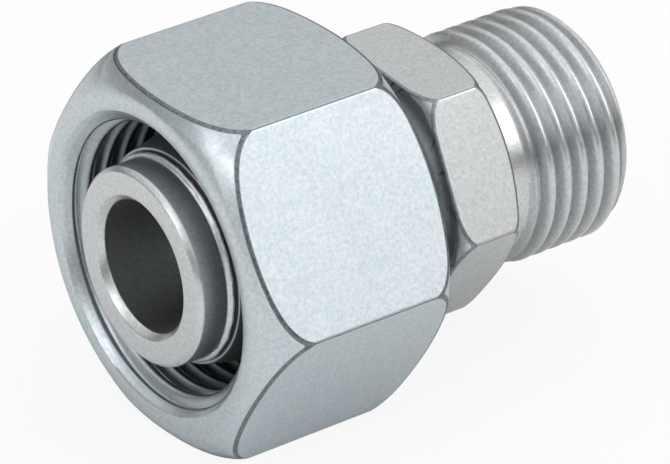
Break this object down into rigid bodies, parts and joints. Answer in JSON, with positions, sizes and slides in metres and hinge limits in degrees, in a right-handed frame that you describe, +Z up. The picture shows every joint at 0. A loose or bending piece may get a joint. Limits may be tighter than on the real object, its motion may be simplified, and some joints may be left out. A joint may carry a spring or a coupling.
{
  "type": "reducing coupling",
  "caption": "Straight reducing coupling for metric hydraulic tube: a captive union nut turns on a tube stub with a cutting ring, and a threaded stud takes the smaller tube.",
  "frame": {"origin": "on the surface it lies on, under the middle of the coupling: halfway along its length and straight under the bore's axis", "axes": "+X along the bore from the 15 mm tube stub and its union nut to the 12 mm threaded stud, +Z up from the nut flat it lies on, -Y towards the side the picture shows"},
  "size_m": [0.0382, 0.031, 0.027],
  "materials": {
    "body_steel": "satin",
    "ring_steel": "matte",
    "nut_zinc": "satin"
  },
  "bodies": {
    "coupling": {"coupling_body": "body_steel", "cutting_ring": "ring_steel"},
    "nut": {"union_nut": "nut_zinc"}
  },
  "joints": [
    {"name": "nut_swivel", "type": "hinge", "parent": "coupling", "child": "nut", "pos_m": [-0.00975, 0, 0.0135], "axis": [1, 0, 0], "continuous": true}
  ]
}
